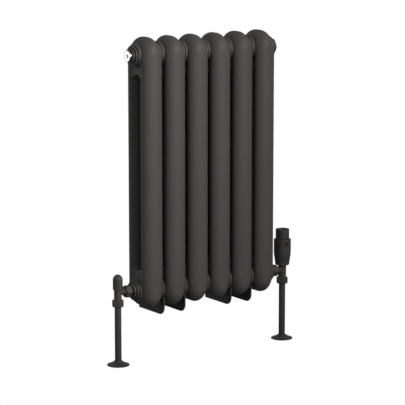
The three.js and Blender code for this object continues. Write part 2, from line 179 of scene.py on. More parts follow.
def makeSurface(name, look):
    # base colour drifts slowly over the piece, roughness varies a little more finely, and two layers
    # of noise raise the surface: a coarse one for the casting or moulding and a fine one for the coat
    material = bpy.data.materials.new(name)
    material.use_nodes = True
    tree = material.node_tree
    shader = tree.nodes["Principled BSDF"]
    shader.inputs["Metallic"].default_value = look.get("metallic", 0.0)
    place = addNode(tree, "ShaderNodeTexCoord").outputs["Object"]

    drift = addNode(tree, "ShaderNodeTexNoise", Scale=look["driftScale"], Detail=4.0, Roughness=0.55)
    tree.links.new(place, drift.inputs["Vector"])
    colour = np.array(look["colour"])
    dark = tuple(colour * (1 - look["driftDepth"]))
    light = tuple(colour * (1 + look["driftDepth"]))
    tree.links.new(mixColours(tree, drift.outputs["Fac"], dark, light), shader.inputs["Base Color"])

    patch = addNode(tree, "ShaderNodeTexNoise", Scale=look["driftScale"] * 5, Detail=3.0, Roughness=0.6)
    tree.links.new(place, patch.inputs["Vector"])
    rough = addNode(tree, "ShaderNodeMapRange")
    rough.inputs["To Min"].default_value = look["rough"] - look["roughSpread"]
    rough.inputs["To Max"].default_value = look["rough"] + look["roughSpread"]
    tree.links.new(patch.outputs["Fac"], rough.inputs["Value"])
    tree.links.new(rough.outputs["Result"], shader.inputs["Roughness"])

    normal = None
    for scale, depth in look["bumps"]:
        noise = addNode(tree, "ShaderNodeTexNoise", Scale=scale, Detail=2.0, Roughness=0.5)
        tree.links.new(place, noise.inputs["Vector"])
        bump = addNode(tree, "ShaderNodeBump", Strength=1.0, Distance=depth)
        tree.links.new(noise.outputs["Fac"], bump.inputs["Height"])
        if normal:
            tree.links.new(normal, bump.inputs["Normal"])
        normal = bump.outputs["Normal"]
    tree.links.new(normal, shader.inputs["Normal"])
    return material


coat = {
    "colour": (0.078, 0.074, 0.072),
    "driftScale": 7,
    "driftDepth": 0.07,
    "rough": 0.6,
    "roughSpread": 0.06,
}
castLook = {**coat, "bumps": [(90, 0.00025), (700, 0.00005)]}
fittingLook = {**coat, "colour": (0.064, 0.06, 0.058), "bumps": [(800, 0.00003)]}
bracketLook = {**coat, "colour": (0.05, 0.046, 0.044), "bumps": [(1100, 0.00004)]}
pipeLook = {**coat, "colour": (0.062, 0.054, 0.055), "rough": 0.5, "bumps": [(900, 0.00002)]}
plateLook = {**coat, "colour": (0.042, 0.04, 0.04), "rough": 0.5, "bumps": [(900, 0.00002)]}
plasticLook = {**coat, "colour": (0.055, 0.051, 0.05), "driftDepth": 0.03, "bumps": [(1600, 0.00003)]}
innerLook = {**plasticLook, "colour": (0.02, 0.02, 0.02)}
redLook = {**plasticLook, "colour": (0.062, 0.006, 0.012), "rough": 0.5}
steelLook = {**coat, "colour": (0.42, 0.42, 0.41), "rough": 0.32, "metallic": 1.0, "bumps": [(500, 0.00003)]}
brassLook = {**coat, "colour": (0.52, 0.38, 0.17), "rough": 0.3, "metallic": 1.0, "bumps": [(600, 0.00002)]}
chromeLook = {**coat, "colour": (0.86, 0.86, 0.86), "rough": 0.2, "metallic": 1.0, "bumps": [(300, 0.00003)]}
sensorLook = {**steelLook, "colour": (0.55, 0.55, 0.56)}
sealLook = {**plasticLook, "colour": (0.016, 0.016, 0.016), "rough": 0.75}
looks = {
    "painted_casting": castLook,
    "painted_fittings": fittingLook,
    "painted_steel": bracketLook,
    "painted_copper": pipeLook,
    "painted_plates": plateLook,
    "head_plastic": plasticLook,
    "inner_plastic": innerLook,
    "indicator_red": redLook,
    "bare_steel": steelLook,
    "bare_brass": brassLook,
    "sensor_metal": sensorLook,
    "vent_chrome": chromeLook,
    "seal_rubber": sealLook,
}
surfaces = {name: makeSurface(name, look) for name, look in looks.items()}
for row in frame["record"]["subparts"]:
    node = frame["nodes"][row["node"]]
    node.data.materials.clear()
    node.data.materials.append(surfaces[row["material_slot"]])
print("materials:", len(surfaces))

# mesh helpers


def gridFaces(rows, columns, wrapRows=False, wrapColumns=False, start=0):
    # quads over a rows by columns grid of vertices, closed round either way when asked
    rowSteps = np.arange(rows if wrapRows else rows - 1)
    columnSteps = np.arange(columns if wrapColumns else columns - 1)
    row, column = np.meshgrid(rowSteps, columnSteps, indexing="ij")
    here, over = row * columns, (row + 1) % rows * columns
    beside = (column + 1) % columns
    quads = np.stack([here + column, over + column, over + beside, here + beside], axis=-1)
    return quads.reshape(-1, 4) + start


def carriedFaces(rings, columns):
    # quads over a section carried along a path, with its first and last ring closed by quads that
    # each join two facing edges of the ring
    step = np.arange(columns // 2 - 1)
    faces = [gridFaces(rings, columns, wrapColumns=True)]
    for start in (0, (rings - 1) * columns):
        far = start + columns - 1 - step
        faces.append(np.stack([start + step, start + step + 1, far - 1, far], axis=1))
    return np.concatenate(faces)


def addPiece(name, points, faces, slot, node, body, sharp=35):
    # points in metres as an n by 3 array; doubles are merged, then faces are turned outwards
    mesh = bpy.data.meshes.new(name)
    mesh.from_pydata(np.asarray(points, float).tolist(), [], np.asarray(faces, int).tolist())
    work = bmesh.new()
    work.from_mesh(mesh)
    bmesh.ops.remove_doubles(work, verts=work.verts, dist=2e-6)
    bmesh.ops.dissolve_degenerate(work, edges=work.edges, dist=1e-6)
    bmesh.ops.recalc_face_normals(work, faces=work.faces)
    work.to_mesh(mesh)
    work.free()
    mesh.polygons.foreach_set("use_smooth", np.ones(len(mesh.polygons), bool))
    mesh.set_sharp_from_angle(angle=math.radians(sharp))
    piece = bpy.data.objects.new(name, mesh)
    bpy.context.scene.collection.objects.link(piece)
    mesh.materials.append(surfaces[slot])
    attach(piece, body)
    if node:
        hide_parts(node)
    return piece


def roundedLine(corners, closed=False, steps=4):
    # corners are [a, b, radius]; each corner is replaced by a round of its radius, as an arc that
    # starts and ends where the circle of that radius touches both sides
    pts = np.array([corner[:2] for corner in corners], float)
    radii = [corner[2] if len(corner) > 2 else 0 for corner in corners]
    out = []
    count = len(pts)
    for k in range(count):
        ends = not closed and k in (0, count - 1)
        if ends or radii[k] <= 0:
            out.append(pts[k][None])
            continue
        before, here, after = pts[k - 1], pts[k], pts[(k + 1) % count]
        inWay, outWay = before - here, after - here
        inLength, outLength = np.linalg.norm(inWay), np.linalg.norm(outWay)
        inWay, outWay = inWay / inLength, outWay / outLength
        half = math.acos(np.clip(inWay @ outWay, -1, 1)) / 2
        reach = min(radii[k] / math.tan(half), 0.49 * min(inLength, outLength))
        radius = reach * math.tan(half)
        centre = here + (inWay + outWay) / np.linalg.norm(inWay + outWay) * radius / math.sin(half)
        start, end = here + inWay * reach - centre, here + outWay * reach - centre
        swing = math.atan2(start[0] * end[1] - start[1] * end[0], start @ end)
        turn = np.linspace(0, swing, steps + 1)
        out.append(centre + np.stack([
            start[0] * np.cos(turn) - start[1] * np.sin(turn),
            start[0] * np.sin(turn) + start[1] * np.cos(turn),
        ], axis=1))
    return np.concatenate(out)


def turnedPoints(profile, sides, closed):
    # the profile [radius, along] carried round the axis
    turn = np.linspace(0, 2 * np.pi, sides, endpoint=False)
    radius, along = profile[:, :1], profile[:, 1:2]
    points = np.stack([radius * np.cos(turn), radius * np.sin(turn), along + 0 * turn], axis=-1)
    return points.reshape(-1, 3), gridFaces(len(profile), sides, wrapRows=closed, wrapColumns=True)


def placeAlong(points, centre, axis="z", side=1):
    # local +Z is laid along the asked axis, scaled from millimetres and moved to centre (metres)
    x, y, z = points.T
    laid = {
        "z": (x, y, z * side),
        "x": (z * side, x, y),
        "y": (x, z * side, y),
    }[axis]
    return np.stack(laid, axis=1) * mm + np.array(centre)


def turnedPiece(
    name, corners, centre, slot, node, body="radiator", axis="z", side=1, sides=72, closed=False
):
    # a rounded profile carried round an axis through centre
    profile = roundedLine(corners, closed)
    points, faces = turnedPoints(profile, sides, closed)
    return addPiece(name, placeAlong(points, centre, axis, side), faces, slot, node, body)


def middle(node):
    # the centre of a node's box
    low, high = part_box(node)
    return (low + high) / 2


# cast sections

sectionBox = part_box("section_1")
sectionSize = [(high - low) / mm for low, high in zip(*sectionBox)]
casting = {
    "halfWidth": 25.5,  # of a column, across the radiator
    "halfDepth": sectionSize[1] / 2,
    "height": sectionSize[2],
    "slotHalf": 8.25,  # half width of the gap between front and back column
    "slotEnd": 53.25,  # hub axis down to the centre of the slot's round end
    "slotRound": 4.5,  # depth over which the web above the slot rounds off
    "hubInset": 40.0,  # head's crown to hub axis
    "crownCorner": 37.0,
    "footCorner": 29.0,
    "crownRound": 33.0,  # depth over which the crown rounds off
    "crownBlend": (-10, 30),  # heights between which a column's roundness passes into the crown's
    "hollow": 4.0,  # how far the cheeks sink in beside the hub
    "hollowWidth": (9, 27),  # the hollow fades between these distances to either side of the hub
    "hollowHeight": (4, 26),  # and between these heights above it
    "hubRadius": 25.5,
    "hubFace": sectionSize[0] / 2,
    "hubBore": 21.6,
    "fillet": 1.6,
    "hubEdge": 1.0,
}


def smoothStep(value, low, high):
    # 0 below low, 1 above high and a cubic with level ends between them
    share = np.clip((value - low) / (high - low), 0, 1)
    return share * share * (3 - 2 * share)


def halfThickness(y, z, corner):
    # half the casting's width at a point of its side view, z measured up from the upper hub axis.
    # It swells from nothing at the outline and at the slot as two ellipses, the slot's a shallow one
    # above the slot's end; a hollow, the product of two smooth steps, sinks the cheek round the hub.
    dy = np.abs(y) - (casting["halfDepth"] - corner)
    dz = z - (casting["hubInset"] - corner)
    inside = corner - np.hypot(np.maximum(dy, 0), np.maximum(dz, 0)) - np.minimum(np.maximum(dy, dz), 0)
    columnHalf = (casting["halfDepth"] - casting["slotHalf"]) / 2
    lift = smoothStep(z, *casting["crownBlend"])
    depth = columnHalf + (casting["crownRound"] - columnHalf) * lift
    rise = 1 - np.clip(inside / depth, 0, 1)
    outer = np.sqrt(np.maximum(1 - rise ** 2, 0))
    drop = np.maximum(z + casting["slotEnd"], 0)
    fromSlot = np.hypot(y, drop) - casting["slotHalf"]
    slotDepth = columnHalf + (casting["slotRound"] - columnHalf) * smoothStep(drop, 0, casting["slotHalf"])
    slotRise = 1 - np.clip(fromSlot / slotDepth, 0, 1)
    inner = np.sqrt(np.maximum(1 - slotRise ** 2, 0))
    near = 1 - smoothStep(np.abs(y), *casting["hollowWidth"])
    fade = near * (1 - smoothStep(z, *casting["hollowHeight"]))
    return (casting["halfWidth"] - casting["hollow"] * fade) * outer * inner


def headOutline(corner):
    # the edge of a head in side view, from the foot of the front column's outer face up over the
    # crown, down the back, across the back column, round the slot's end and across the front column
    deep, top, foot = casting["halfDepth"], casting["hubInset"], -casting["slotEnd"]
    rise = np.linspace(foot, top - corner, 12, endpoint=False)
    side = np.stack([np.full_like(rise, -deep), rise], axis=1)
    turn = np.linspace(np.pi, np.pi / 2, 20)
    bend = np.stack([corner - deep + corner * np.cos(turn), top - corner + corner * np.sin(turn)], axis=1)
    across = np.linspace(corner - deep, 0, 6)[1:]
    crown = np.stack([across, np.full_like(across, top)], axis=1)
    front = np.concatenate([side, bend, crown])
    back = front[-2::-1] * [-1, 1]
    columnHalf = (deep - casting["slotHalf"]) / 2
    sweep = np.linspace(0, np.pi, 25)[1:]
    cut = casting["slotHalf"] + columnHalf + columnHalf * np.cos(sweep)
    backCut = np.stack([cut, np.full_like(cut, foot)], axis=1)
    bow = np.linspace(0, np.pi, 19)[1:-1]
    slotEnd = np.stack([np.cos(bow), np.sin(bow)], axis=1) * casting["slotHalf"] + [0, foot]
    frontCut = backCut[::-1] * [-1, 1]
    return np.concatenate([front, back, backCut, slotEnd, frontCut[:-1]]), len(sweep)


def cheekMesh(corner):
    # one cheek of a head, a fan of rays from the hub axis out to the outline; the rays start with
    # the hub's bore, face, edge, wall and fillet and then follow the half thickness out to the edge
    edge, cutSteps = headOutline(corner)
    distance = np.hypot(edge[:, 0], edge[:, 1])
    way = edge / distance[:, None]
    foot = casting["hubRadius"] + casting["fillet"]
    share = np.linspace(0, 1, 26)
    reach = foot + (distance[:, None] - foot) * (1 - (1 - share) ** 2)
    y, z = way[:, :1] * reach, way[:, 1:] * reach
    x = halfThickness(y, z, corner)
    rootWidth = x[:, :1]
    curl = np.linspace(0, np.pi / 2, 6)[1:]
    filletR = foot - casting["fillet"] * np.sin(curl)
    filletX = rootWidth + casting["fillet"] * (1 - np.cos(curl))
    rim = np.linspace(0, np.pi / 2, 4)
    rimR = casting["hubRadius"] - casting["hubEdge"] * (1 - np.cos(rim))
    rimX = casting["hubFace"] - casting["hubEdge"] * (1 - np.sin(rim))
    hubR = np.concatenate([filletR, rimR, [casting["hubBore"], casting["hubBore"], casting["hubBore"]]])
    flat = np.concatenate([rimX, [casting["hubFace"], casting["hubFace"] / 2, 0]])
    hubX = np.concatenate([filletX, np.broadcast_to(flat, (len(edge), len(flat)))], axis=1)
    hubY, hubZ = way[:, :1] * hubR, way[:, 1:] * hubR
    return np.stack([
        np.concatenate([hubX[:, ::-1], x], axis=1),
        np.concatenate([hubY[:, ::-1], y], axis=1),
        np.concatenate([hubZ[:, ::-1], z], axis=1),
    ], axis=-1), cutSteps


def sectionMesh():
    # two heads of two cheeks each, and two columns between them
    up = casting["height"] / 2 - casting["hubInset"]
    points, faces, start = [], [], 0
    for head, corner in ((1, casting["crownCorner"]), (-1, casting["footCorner"])):
        cheek, cutSteps = cheekMesh(corner)
        for hand in (1, -1):
            placed = cheek * [hand, 1, head] + [0, 0, head * up]
            points.append(placed.reshape(-1, 3))
            faces.append(gridFaces(*cheek.shape[:2], wrapRows=True, start=start))
            start += placed.shape[0] * placed.shape[1]
    columnHalf = (casting["halfDepth"] - casting["slotHalf"]) / 2
    bow = np.linspace(0, 2 * np.pi, 2 * cutSteps, endpoint=False)
    end = up - casting["slotEnd"]
    climb = np.array([0, 0.3, 1.0, 3.0, 9.0, 25.0, 60.0, 120.0])  # rows close together near the heads
    columnZ = np.concatenate([climb - end, [0], end - climb[::-1]])
    for depth in (-1, 1):
        ring, tall = np.meshgrid(bow, columnZ)
        column = np.stack([
            casting["halfWidth"] * np.sin(ring),
            depth * (casting["slotHalf"] + columnHalf) + columnHalf * np.cos(ring),
            tall,
        ], axis=-1)
        points.append(column.reshape(-1, 3))
        faces.append(gridFaces(*column.shape[:2], wrapColumns=True, start=start))
        start += column.shape[0] * column.shape[1]
    return np.concatenate(points) * mm, np.concatenate(faces)


castPoints, castFaces = sectionMesh()
for index in range(1, 7):
    node = f"section_{index}"
    placed = castPoints + np.array(middle(node))
    piece = addPiece(f"castSection_{index}", placed, castFaces, "painted_casting", node, "radiator", 50)
    evenNormals = piece.modifiers.new("evenNormals", "WEIGHTED_NORMAL")  # large faces outweigh slivers
    evenNormals.keep_sharp = True
print("sections cast:", len(castFaces), "faces each")

# shared places

axisY = float(middle("section_1")[1])
lowHub = float(middle("nipple_low_1")[2])
highHub = float(middle("nipple_high_1")[2])
endFace = float(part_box("section_6")[1][0])
valveX = float(middle("pipe_right")[0])


def polygonReach(turn, sides, inradius, corner):
    # distance from the axis to a regular polygon, a corner along turn 0: the inradius over the cosine
    # of the angle from a flat's middle, and near a corner the far side of the circle that rounds it
    step = np.pi / sides
    off = np.abs((turn + step) % (2 * step) - step)
    fromFlat = step - off
    core = inradius - corner
    far = core / math.cos(step)
    flat = inradius / np.cos(fromFlat)
    bend = far * np.cos(off) + np.sqrt(np.maximum(corner ** 2 - (far * np.sin(off)) ** 2, 0))
    return np.where(inradius * np.tan(fromFlat) <= core * math.tan(step), flat, bend)


def facetedPiece(
    name, sides, rows, centre, slot, node, body="radiator", axis="z", side=1,
    corner=0.7, twist=0.0, closed=True,
):
    # rows are [radius, along, inradius]: a round row of that radius, held inside the polygon of that
    # inradius; an inradius of 0 leaves the row round
    count = sides * 16
    turn = np.linspace(0, 2 * np.pi, count, endpoint=False)
    rings = []
    for radius, along, inradius in rows:
        reach = np.full(count, float(radius))
        if inradius:
            reach = np.minimum(reach, polygonReach(turn, sides, inradius, corner))
        ring = np.stack([reach * np.cos(turn + twist), reach * np.sin(turn + twist)], axis=1)
        rings.append(np.column_stack([ring, np.full(count, float(along))]))
    points = np.concatenate(rings)
    faces = gridFaces(len(rows), count, wrapRows=closed, wrapColumns=True)
    return addPiece(name, placeAlong(points, centre, axis, side), faces, slot, node, body, 25)


def chamferRows(bar, low, high, steps=7):
    # the outside of a hexagon bar from low to high, whose corners are turned off at each end in a
    # quarter of an ellipse that starts at the rim's radius and runs over the given length
    full = bar["inradius"] / math.cos(math.pi / 6)
    turn = np.linspace(0, np.pi / 2, steps + 1)
    out, along = np.sin(turn), 1 - np.cos(turn)
    start = np.stack([bar["lowRim"] + (full - bar["lowRim"]) * out, low + bar["lowLength"] * along], axis=1)
    end = np.stack([bar["highRim"] + (full - bar["highRim"]) * out, high - bar["highLength"] * along], axis=1)
    return [[radius, place, bar["inradius"]] for radius, place in np.concatenate([start, end[::-1]])]


# joints between the sections

seal = {"inner": 21.7, "outer": 24.6, "half": 0.34}
sealProfile = [
    [seal["inner"], -seal["half"]],
    [seal["outer"], -seal["half"], 0.3],
    [seal["outer"], seal["half"], 0.3],
    [seal["inner"], seal["half"]],
]
nippleProfile = [
    [16.7, -17.9, 0.4], [19.4, -17.9, 0.5], [20.2, -16.8, 0.3], [20.2, -3.0, 0.4], [19.6, -2.2, 0.3],
    [19.6, 2.2, 0.3], [20.2, 3.0, 0.4], [20.2, 16.8, 0.3], [19.4, 17.9, 0.5], [16.7, 17.9, 0.4],
]
jointPieces = (("joint_seal", sealProfile, "seal_rubber"), ("nipple", nippleProfile, "bare_steel"))
for level in ("low", "high"):
    for index in range(1, 6):
        for name, profile, slot in jointPieces:
            node = f"{name}_{level}_{index}"
            turnedPiece(f"fine_{node}", profile, middle(node), slot, node, axis="x", sides=64, closed=True)
print("joints made")

# end bushes, vent and blanking plug

# lengths run outwards from the face of the end hub
bushProfile = [
    [10.9, -13.9, 0.6], [20.2, -13.9, 0.8], [20.2, 0.35], [21.9, 0.35, 0.4], [21.9, 5.4, 1.3],
    [18.9, 5.4, 0.5], [18.6, 4.7, 0.3], [17.1, 4.7, 0.4], [17.1, 10.4, 1.1], [13.6, 10.4, 0.4],
    [13.2, 9.8, 0.3], [10.9, 9.8, 0.7],
]
for node, hand, height in (
    ("end_bush_low_left", -1, lowHub),
    ("end_bush_low_right", 1, lowHub),
    ("end_bush_high_left", -1, highHub),
):
    place = (hand * endFace, axisY, height)
    turnedPiece(
        f"fine_{node}", bushProfile, place, "painted_fittings", node, axis="x", side=hand, closed=True,
    )

plugPlace = (endFace, axisY, highHub)
plugProfile = [
    [0, -13.9], [20.2, -13.9, 0.8], [20.2, 0.35], [21.9, 0.35, 0.4], [21.9, 5.4, 1.3], [12, 5.4], [0, 5.4],
]
turnedPiece("blankingFlange", plugProfile, plugPlace, "painted_fittings", "blanking_plug", axis="x")
plugHead = {
    "inradius": 16.95, "from": 5.0, "to": 10.95,
    "lowRim": 16.4, "lowLength": 0.3, "highRim": 16.4, "highLength": 1.6,
}
headRows = chamferRows(plugHead, plugHead["from"], plugHead["to"], 5)
headRows = [[0, plugHead["from"], 0], *headRows, [9.0, plugHead["to"], 0], [8.2, 10.4, 0], [0, 10.4, 0]]
facetedPiece(
    "blankingHead", 6, headRows, plugPlace, "painted_fittings", "blanking_plug", axis="x", closed=False,
)

ventPlace = (-endFace, axisY, highHub)
ventProfile = [
    [3.5, -11.9, 0.4], [10.3, -11.9, 0.7], [10.3, 11.05, 0.2], [12.45, 11.05, 0.4], [12.45, 16.4, 0.9],
    [11.0, 16.4, 0.4], [10.6, 16.0, 0.4], [5.6, 16.0, 0.4], [5.2, 16.45, 0.3], [3.5, 16.45, 0.4],
]
turnedPiece("ventDisc", ventProfile, ventPlace, "vent_chrome", "vent_plug", axis="x", side=-1, closed=True)
bleedRows = [
    [0, -7.9, 0], [2.6, -7.9, 0], [3.05, -7.4, 0], [3.05, 14.9, 0], [2.98, 15.0, 0], [2.9, 15.02, 2.55],
    [3.05, 15.1, 2.55], [3.05, 17.9, 2.55], [2.6, 18.35, 2.4], [0, 18.42, 0],
]
facetedPiece(
    "bleedStem", 4, bleedRows, ventPlace, "vent_chrome", "bleed_screw", "bleed_screw",
    axis="x", side=-1, corner=0.25, twist=math.pi / 4, closed=False,
)
print("ends made")

# valves

for node, hand in (("tail_left", -1), ("tail_right", 1)):
    tailProfile = [
        [6.1, -9.9, 0.3], [10.3, -9.9, 0.7], [10.3, 10.9, 0.6], [7.95, 11.0, 0.2], [7.95, 17.4, 0.2],
        [9.25, 17.4, 0.3], [9.25, 20.4, 0.4], [6.1, 20.4, 0.3],
    ]
    place = (hand * endFace, axisY, lowHub)
    turnedPiece(
        f"fine_{node}", tailProfile, place, "painted_fittings", node, axis="x", side=hand, closed=True,
    )

unionNut = {
    "inradius": 12.4, "from": 13.1, "to": 26.9, "bore": 8.35, "seat": 9.65, "shoulder": 17.05,
    "lowRim": 12.6, "lowLength": 1.6, "highRim": 10.7, "highLength": 6.6,
}
for node, hand in (("union_nut_left", -1), ("union_nut_right", 1)):
    rows = chamferRows(unionNut, unionNut["from"], unionNut["to"])
    rows = [
        [unionNut["bore"], unionNut["from"], 0], *rows, [10.2, unionNut["to"], 0],
        [unionNut["seat"], unionNut["to"] - 0.3, 0], [unionNut["seat"], unionNut["shoulder"], 0],
        [unionNut["bore"], unionNut["shoulder"], 0],
    ]
    place = (hand * endFace, axisY, lowHub)
    facetedPiece(f"fine_{node}", 6, rows, place, "painted_fittings", node, axis="x", side=hand)

compressionNut = {"inradius": 11.45, "lowRim": 9.6, "lowLength": 3.1, "highRim": 10.6, "highLength": 2.4}
for node, x in (("lockshield_compression_nut", -valveX), ("thermostatic_compression_nut", valveX)):
    low, high = (corner[2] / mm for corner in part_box(node))
    rows = chamferRows(compressionNut, low + 0.05, high - 0.05)
    rows = [
        [7.85, low + 0.4, 0], [8.3, low + 0.05, 0], *rows, [10.5, high - 0.05, 0], [10.35, high - 0.4, 0],
        [10.35, low + 4.05, 0], [7.85, low + 4.05, 0],
    ]
    facetedPiece(f"fine_{node}", 6, rows, (x, axisY, 0), "painted_fittings", node, twist=math.pi / 12)


def addBarrel(name, profile, node, x):
    # the upright body of a valve, turned about its pipe's axis
    turnedPiece(name, profile, (x, axisY, 0), "painted_fittings", node, closed=True)


def addBranch(name, node, hand, root):
    # the outlet swells to the root radius where it leaves the barrel and flares again at its end,
    # under the union nut
    neck = 6.35
    profile = [
        [4.9, 6.2], [root, 6.2], [neck + (root - neck) * 0.37, 9.0, 3.0], [neck, 11.0, 2.0],
        [neck, 11.4, 0.5], [9.25, 15.9, 1.2], [9.25, 22.65, 0.5], [4.9, 22.65, 0.3],
    ]
    place = (hand * valveX, axisY, lowHub)
    turnedPiece(name, profile, place, "painted_fittings", node, axis="x", side=-hand, closed=True)


addBarrel("lockshieldBarrel", [
    [7.85, 137.1, 0.3], [9.8, 137.1, 0.4], [9.8, 147.6, 0.3], [8.55, 148.4, 0.8], [8.55, 170.1, 0.8],
    [7.55, 170.3, 0.2], [7.55, 181.9, 0.6], [5.6, 181.9, 0.3], [5.6, 146.0], [7.85, 146.0],
], "lockshield_body", -valveX)
addBranch("lockshieldBranch", "lockshield_body", -1, 6.6)  # clear of the cap's lip
addBarrel("thermostaticBarrel", [
    [7.85, 136.1, 0.3], [9.8, 136.1, 0.4], [9.8, 146.6, 0.3], [9.25, 147.4, 0.5], [9.25, 173.9, 0.8],
    [10.6, 174.0, 0.3], [11.95, 174.4, 0.5], [11.95, 184.9, 0.7], [5.6, 184.9, 0.3], [5.6, 145.0],
    [7.85, 145.0],
], "thermostatic_body", valveX)
addBranch("thermostaticBranch", "thermostatic_body", 1, 8.4)

turnedPiece("lockshieldDome", [
    [8.45, 170.75, 0.2], [10.6, 170.75, 0.3], [10.95, 171.5, 0.4], [10.95, 173.6, 0.3], [10.55, 174.1, 0.3],
    [10.55, 174.5, 0.3], [10.95, 175.0, 0.3], [10.95, 195.0, 6.0], [8.9, 200.4, 6.0], [5.0, 203.6, 5.0],
    [1.8, 204.95, 2.0], [0, 204.95], [0, 203.0], [3.0, 202.4, 3.0], [6.6, 199.6, 3.0], [8.45, 194.0, 3.0],
], (-valveX, axisY, 0), "painted_fittings", "lockshield_cap", "lockshield_cap", closed=True)
spindleRows = [
    [0, 174.6, 0], [4.6, 174.6, 0], [5.05, 175.0, 0], [5.05, 179.4, 0], [4.6, 179.9, 0], [2.98, 179.95, 0],
    [2.98, 182.0, 0], [2.95, 182.3, 2.35], [2.95, 191.2, 2.35], [2.5, 191.9, 2.2], [0, 191.95, 0],
]
facetedPiece(
    "lockshieldSquare", 4, spindleRows, (-valveX, axisY, 0), "bare_brass", "lockshield_spindle",
    "lockshield_spindle", corner=0.3, closed=False,
)
turnedPiece("lockshieldPlug", [
    [0, 152.05], [3.9, 152.05, 0.4], [5.15, 153.6, 0.5], [5.15, 158.6, 0.2], [4.7, 159.0, 0.2],
    [4.7, 160.6, 0.2], [5.15, 161.0, 0.2], [5.15, 167.95, 0.4], [2.15, 167.95, 0.2], [2.15, 169.95, 0.3],
    [0, 169.95],
], (-valveX, axisY, 0), "bare_brass", "lockshield_disc", "lockshield_disc")
print("lockshield valve made")

# thermostatic head


def flutedPiece(name, profile, flutes, depth, slot, node, body):
    # a closed turned shape whose outer rows carry flutes, each cut by a raised cosine to the power of
    # one and a half; profile rows are [radius, along, share of the flutes' depth]
    sides = flutes * 8
    turn = np.linspace(0, 2 * np.pi, sides, endpoint=False)
    wave = depth * (0.5 - 0.5 * np.cos(flutes * turn)) ** 1.5
    radius, along, share = np.array(profile, float).T[:, :, None]
    reach = radius - wave * share
    points = np.stack([reach * np.cos(turn), reach * np.sin(turn), along + 0 * turn], axis=-1).reshape(-1, 3)
    faces = gridFaces(len(profile), sides, wrapRows=True, wrapColumns=True)
    return addPiece(name, placeAlong(points, (valveX, axisY, 0)), faces, slot, node, body, 50)


ring = {"foot": 176.4, "top": 189, "low": 16.05, "high": 17.75, "flutes": 40, "depth": 0.55}


def taper(z):
    # the ring nut widens evenly from its foot to its top
    return ring["low"] + (ring["high"] - ring["low"]) * (z - ring["foot"]) / (ring["top"] - ring["foot"])


ringRows = [[12.35, 175.65, 0], [15.1, 175.65, 0], [15.7, 175.85, 0], [16.0, 176.4, 0]]
ringRows += [[taper(z), z, share] for z, share in ((177.4, 0), (178.2, 1), (182, 1), (186.4, 1), (187.2, 0))]
ringRows += [[taper(188.4) - 0.05, 188.4, 0], [17.2, 188.95, 0], [12.35, 188.95, 0]]
flutedPiece(
    "ringNut", ringRows, ring["flutes"], ring["depth"],
    "painted_fittings", "thermostatic_ring_nut", "radiator",
)

grip = {"foot": 189.55, "belly": 209.0, "top": 235.95, "low": 17.85, "wide": 19.75}
mark = {
    "z": 226.0,
    "radius": 5.5,
    "angle": -0.04,  # radians from straight ahead
    "depth": 1.6,
    "rim": 0.18,  # half the width over which the wall steps in
    "band": 6.7,  # half the height of the finely divided rows
}


def gripRadius(z):
    # swells from the foot to the belly along a quarter of a sine wave and stays straight above it
    share = np.clip((z - grip["foot"]) / (grip["belly"] - grip["foot"]), 0, 1)
    return grip["low"] + (grip["wide"] - grip["low"]) * np.sin(share * np.pi / 2)


def gripMesh():
    # the outside is a grid of rings, pressed in by a smooth step within a circle round the indicator,
    # and the rings then run over the top lip and down the inside
    sides = 240
    turn = np.linspace(0, 2 * np.pi, sides, endpoint=False)
    heights = np.concatenate([
        [grip["foot"], grip["foot"] + 0.15, grip["foot"] + 0.5],
        np.linspace(grip["foot"] + 1.2, mark["z"] - mark["band"] - 0.3, 22),
        np.linspace(mark["z"] - mark["band"], mark["z"] + mark["band"], 48),
        np.linspace(grip["top"] - 2.6, grip["top"] - 1.3, 4),
    ])
    drop = np.zeros(len(heights))
    drop[:3] = (0.5, 0.2, 0.04)
    radius = gripRadius(heights)[:, None] - drop[:, None] + 0 * turn
    facing = mark["angle"] - np.pi / 2
    across = ((turn - facing + np.pi) % (2 * np.pi) - np.pi) * grip["wide"]
    off = np.hypot(across[None], heights[:, None] - mark["z"])
    pressed = smoothStep(-off, -mark["radius"] - mark["rim"], mark["rim"] - mark["radius"])
    radius = radius - mark["depth"] * pressed
    outside = np.stack([radius * np.cos(turn), radius * np.sin(turn), heights[:, None] + 0 * turn], axis=-1)
    lip = np.array([
        [19.7, 235.2], [19.4, 235.65], [18.9, 235.9], [18.4, 235.95], [11.6, 235.95], [11.6, 233.05],
        [14.4, 231.05], [14.4, 189.9], [14.7, 189.55],
    ])
    lipR, lipZ = lip[:, :1], lip[:, 1:]
    inside = np.stack([lipR * np.cos(turn), lipR * np.sin(turn), lipZ + 0 * turn], axis=-1)
    rings = np.concatenate([outside, inside])
    return rings.reshape(-1, 3), gridFaces(len(rings), sides, wrapRows=True, wrapColumns=True)


gripPoints, gripFaces = gripMesh()
addPiece(
    "headGrip", placeAlong(gripPoints, (valveX, axisY, 0)), gripFaces, "head_plastic",
    "thermostatic_handle", "thermostatic_handle", 40,
)

markPlace = np.array([valveX, axisY, mark["z"] * mm])
markOut = np.array([math.sin(mark["angle"]), -math.cos(mark["angle"]), 0])
markSide = np.array([math.cos(mark["angle"]), math.sin(mark["angle"]), 0])
markProfile = roundedLine([[0, 18.45], [5.1, 18.45, 0.2], [5.1, 19.1, 0.4], [2.5, 19.4], [0, 19.45]])
markPoints, markFaces = turnedPoints(markProfile, 48, False)
markPoints = markPlace + markPoints @ np.array([markSide, [0, 0, 1], markOut]) * mm
addPiece("redSpot", markPoints, markFaces, "indicator_red", "thermostatic_indicator", "thermostatic_handle")

